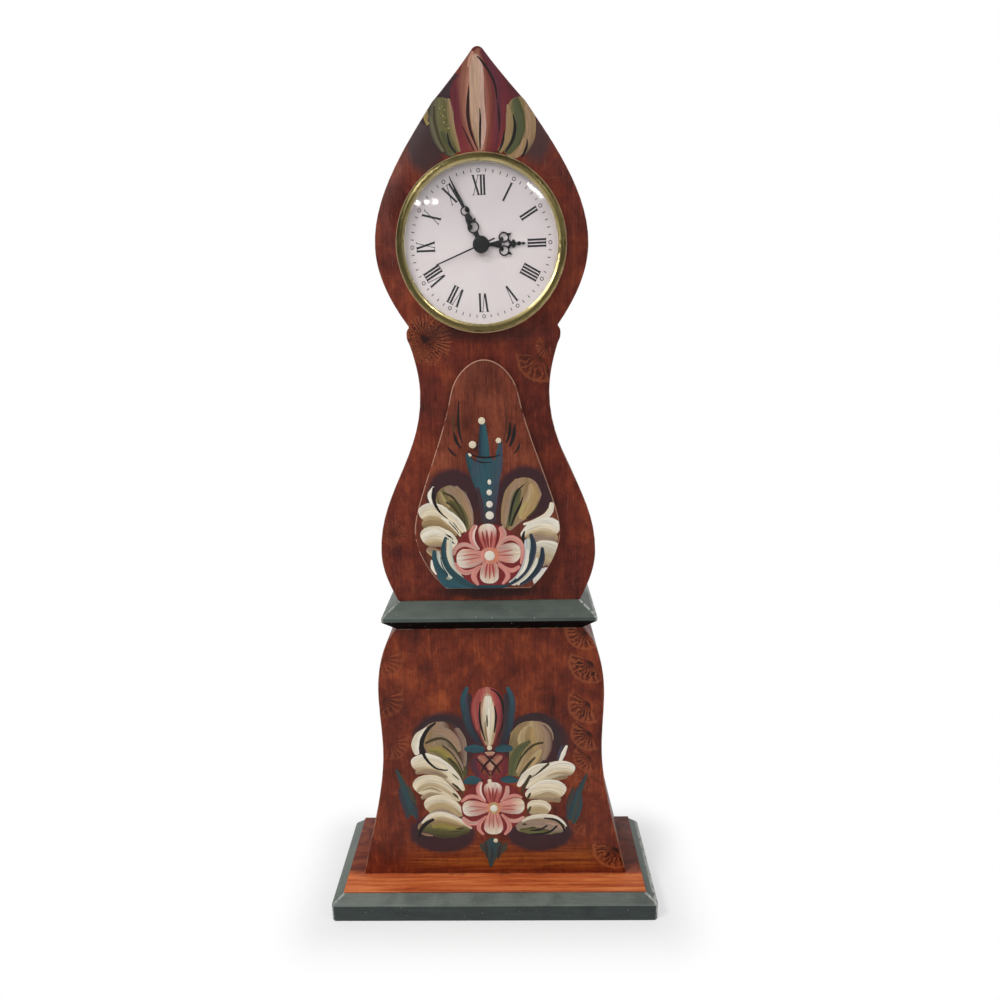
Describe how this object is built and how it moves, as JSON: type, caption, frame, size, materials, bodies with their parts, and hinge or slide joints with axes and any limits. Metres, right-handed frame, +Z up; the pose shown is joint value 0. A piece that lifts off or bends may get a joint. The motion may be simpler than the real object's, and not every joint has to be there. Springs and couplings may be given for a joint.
{
  "type": "table clock",
  "caption": "Painted wooden table clock shaped like a small longcase clock, with a curved case, moulded base and ledge, and a round brass-rimmed clock insert.",
  "frame": {"origin": "middle of the base board's underside", "axes": "+X to the right, +Y from the dial to the back, +Z up"},
  "size_m": [0.194, 0.072, 0.471],
  "materials": {
    "stained_wood": "red-brown stain over pine, hand painted flowers, satin lacquer",
    "bare_wood": "plain pine, thin brown stain",
    "painted_wood": "grey-green paint worn at the edges",
    "screw_steel": "zinc-plated steel",
    "bezel_brass": "polished brass, lightly aged",
    "glass": "clear domed glass",
    "dial_white": "satin white with black print",
    "housing": "black moulded plastic",
    "grip_rubber": "black rubber",
    "bobbin_plastic": "natural nylon",
    "copper": "enamelled copper wire",
    "stator_steel": "bare steel",
    "board_green": "green circuit board",
    "gear_brass": "brushed brass",
    "gear_plastic": "cream moulded plastic",
    "hand_black": "black lacquer",
    "cell_jacket": "plain metal jacket"
  },
  "bodies": {
    "case": {"base": "painted_wood", "lower_front": "stained_wood", "lower_side_left": "stained_wood", "lower_side_right": "stained_wood", "lower_back": "bare_wood", "ledge": "painted_wood", "upper_front": "stained_wood", "upper_side_left": "stained_wood", "upper_side_right": "stained_wood", "upper_back": "bare_wood", "waist_panel": "stained_wood", "base_screws": "screw_steel", "lower_back_screws": "screw_steel", "upper_back_screws": "screw_steel"},
    "insert": {"bezel": "bezel_brass", "lens": "glass", "lens_spacer": "dial_white", "dial": "dial_white", "can": "housing", "grip_ring": "grip_rubber", "front_plate": "housing", "rear_plate": "housing", "centre_bush": "gear_brass", "bobbin": "bobbin_plastic", "coil": "copper", "stator": "stator_steel", "circuit_board": "board_green", "quartz": "stator_steel", "contact_plus": "stator_steel", "contact_minus": "stator_steel"},
    "battery": {"battery": "cell_jacket"},
    "rotor": {"rotor": "stator_steel"},
    "intermediate_wheel": {"intermediate_wheel": "gear_brass"},
    "seconds": {"second_wheel": "gear_brass", "second_hand": "hand_black"},
    "third_wheel": {"third_wheel": "gear_brass"},
    "centre_wheel": {"centre_wheel": "gear_brass"},
    "minutes": {"cannon_pinion": "gear_brass", "minute_hand": "hand_black"},
    "motion_wheel": {"motion_wheel": "gear_plastic"},
    "hours": {"hour_wheel": "gear_plastic", "hour_hand": "hand_black"},
    "setting": {"setting_arbor": "gear_plastic", "set_knob": "housing"}
  },
  "joints": [
    {"name": "insert_slide", "type": "slide", "parent": "case", "child": "insert", "axis": [0, -1, 0], "range_m": [0, 0.03]},
    {"name": "battery_slide", "type": "slide", "parent": "insert", "child": "battery", "axis": [0, 1, 0], "range_m": [0, 0.0125]},
    {"name": "second_spin", "type": "hinge", "parent": "insert", "child": "seconds", "pos_m": [0, -0.0117, 0.38255], "axis": [0, 1, 0], "continuous": true},
    {"name": "rotor_spin", "type": "hinge", "parent": "insert", "child": "rotor", "pos_m": [0.01198, -0.0117, 0.39138], "axis": [0, 1, 0], "continuous": true},
    {"name": "intermediate_spin", "type": "hinge", "parent": "insert", "child": "intermediate_wheel", "pos_m": [0.0054, -0.0117, 0.38899], "axis": [0, 1, 0], "continuous": true},
    {"name": "third_spin", "type": "hinge", "parent": "insert", "child": "third_wheel", "pos_m": [-0.0085, -0.0117, 0.38255], "axis": [0, 1, 0], "continuous": true},
    {"name": "centre_spin", "type": "hinge", "parent": "insert", "child": "centre_wheel", "pos_m": [0, -0.0117, 0.38255], "axis": [0, 1, 0], "continuous": true},
    {"name": "minute_spin", "type": "hinge", "parent": "insert", "child": "minutes", "pos_m": [0, -0.0117, 0.38255], "axis": [0, 1, 0], "continuous": true},
    {"name": "motion_spin", "type": "hinge", "parent": "insert", "child": "motion_wheel", "pos_m": [-0.0036, -0.0117, 0.38878], "axis": [0, 1, 0], "continuous": true},
    {"name": "hour_spin", "type": "hinge", "parent": "insert", "child": "hours", "pos_m": [0, -0.0117, 0.38255], "axis": [0, 1, 0], "continuous": true},
    {"name": "setting_spin", "type": "hinge", "parent": "insert", "child": "setting", "pos_m": [-0.0036, -0.0117, 0.39598], "axis": [0, 1, 0], "continuous": true}
  ],
  "couplings": [
    {"joint": "rotor_spin", "follows": "second_spin", "ratio": 30},
    {"joint": "intermediate_spin", "follows": "second_spin", "ratio": -5},
    {"joint": "third_spin", "follows": "second_spin", "ratio": -0.13333},
    {"joint": "centre_spin", "follows": "second_spin", "ratio": 0.016667},
    {"joint": "motion_spin", "follows": "minute_spin", "ratio": -0.33333},
    {"joint": "hour_spin", "follows": "minute_spin", "ratio": 0.083333},
    {"joint": "setting_spin", "follows": "minute_spin", "ratio": 1}
  ]
}
